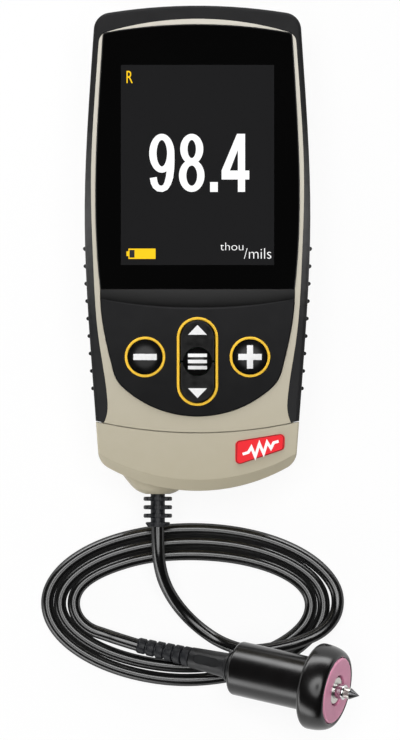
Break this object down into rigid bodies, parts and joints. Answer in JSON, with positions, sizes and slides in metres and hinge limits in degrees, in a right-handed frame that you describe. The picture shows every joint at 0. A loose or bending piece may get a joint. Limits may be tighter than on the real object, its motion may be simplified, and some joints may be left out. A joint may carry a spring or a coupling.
{
  "type": "surface profile gauge",
  "caption": "Hand-held surface profile gauge with a display, a keypad and a rubber grip, its plug-in cap, loosely coiled cable and a probe with a sprung carbide point.",
  "frame": {"origin": "centre of the case's flat back face, midway along the case", "axes": "+X to the right of the display, +Y towards the case's top end, +Z out of the display; the gauge lies on its back"},
  "size_m": [0.0914, 0.2073, 0.0344],
  "materials": {
    "beige_plastic": "fine satin",
    "grip_rubber": "soft matt",
    "window": "polished, black border",
    "display": "dark display",
    "keypad": "smooth satin",
    "key": "glossy domes",
    "ring": "yellow print",
    "tag": "gloss red",
    "black_plastic": "polished",
    "boot_rubber": "satin",
    "cable": "glossy jacket",
    "ceramic": "pink, ground",
    "steel": "turned",
    "chrome": "polished",
    "carbide": "ground dark carbide",
    "board": "green solder mask",
    "chip": "moulded",
    "frame_metal": "white moulded frame",
    "copper": "copper winding",
    "gold": "gold plate",
    "battery": "plain foil sleeve"
  },
  "bodies": {
    "gauge": {"front_housing": "beige_plastic", "rear_housing": "beige_plastic", "side_grip": "grip_rubber", "display_window": "window", "keypad_panel": "keypad", "key_rings": "ring", "display_frame": "frame_metal", "display_glass": "display", "circuit_board": "board", "dome_switches": "steel", "board_chips": "chip", "buzzer": "black_plastic", "probe_socket": "black_plastic", "batteries": "battery", "battery_contacts": "steel", "housing_screws": "steel"},
    "minus_key": {"minus_key": "key"},
    "plus_key": {"plus_key": "key"},
    "up_key": {"up_key": "key"},
    "menu_key": {"menu_key": "key"},
    "down_key": {"down_key": "key"},
    "battery_door": {"battery_door": "beige_plastic"},
    "lead": {"probe_cap": "beige_plastic", "probe_plug": "black_plastic", "plug_contacts": "gold", "probe_tag": "tag", "cable_boot": "boot_rubber", "cable_lead": "cable", "cable_coil": "cable", "cable_tail": "cable", "probe_boot": "boot_rubber", "probe_barrel": "black_plastic", "probe_housing": "black_plastic", "wear_ring": "ceramic", "guide_sleeve": "steel", "sensing_coil": "copper", "probe_board": "board", "tip_spring": "steel"},
    "tip": {"tip_plunger": "chrome", "carbide_tip": "carbide"}
  },
  "joints": [
    {"name": "minus_key_press", "type": "slide", "parent": "gauge", "child": "minus_key", "axis": [0, 0, -1], "range_m": [0, 0.0006], "stiffness_N_per_m": 2500, "springref_m": -0.0002},
    {"name": "plus_key_press", "type": "slide", "parent": "gauge", "child": "plus_key", "axis": [0, 0, -1], "range_m": [0, 0.0006], "stiffness_N_per_m": 2500, "springref_m": -0.0002},
    {"name": "up_key_press", "type": "slide", "parent": "gauge", "child": "up_key", "axis": [0, 0, -1], "range_m": [0, 0.0006], "stiffness_N_per_m": 2500, "springref_m": -0.0002},
    {"name": "menu_key_press", "type": "slide", "parent": "gauge", "child": "menu_key", "axis": [0, 0, -1], "range_m": [0, 0.0006], "stiffness_N_per_m": 2500, "springref_m": -0.0002},
    {"name": "down_key_press", "type": "slide", "parent": "gauge", "child": "down_key", "axis": [0, 0, -1], "range_m": [0, 0.0006], "stiffness_N_per_m": 2500, "springref_m": -0.0002},
    {"name": "battery_door_slide", "type": "slide", "parent": "gauge", "child": "battery_door", "axis": [0, -1, 0], "range_m": [0, 0.012]},
    {"name": "lead_unplug", "type": "slide", "parent": "gauge", "child": "lead", "axis": [0, -1, 0], "range_m": [0, 0.012]},
    {"name": "tip_press", "type": "slide", "parent": "lead", "child": "tip", "axis": [-0.9091, 0.1982, -0.3665], "range_m": [0, 0.0064], "stiffness_N_per_m": 150, "springref_m": -0.003, "deforming": ["tip_spring"]}
  ]
}
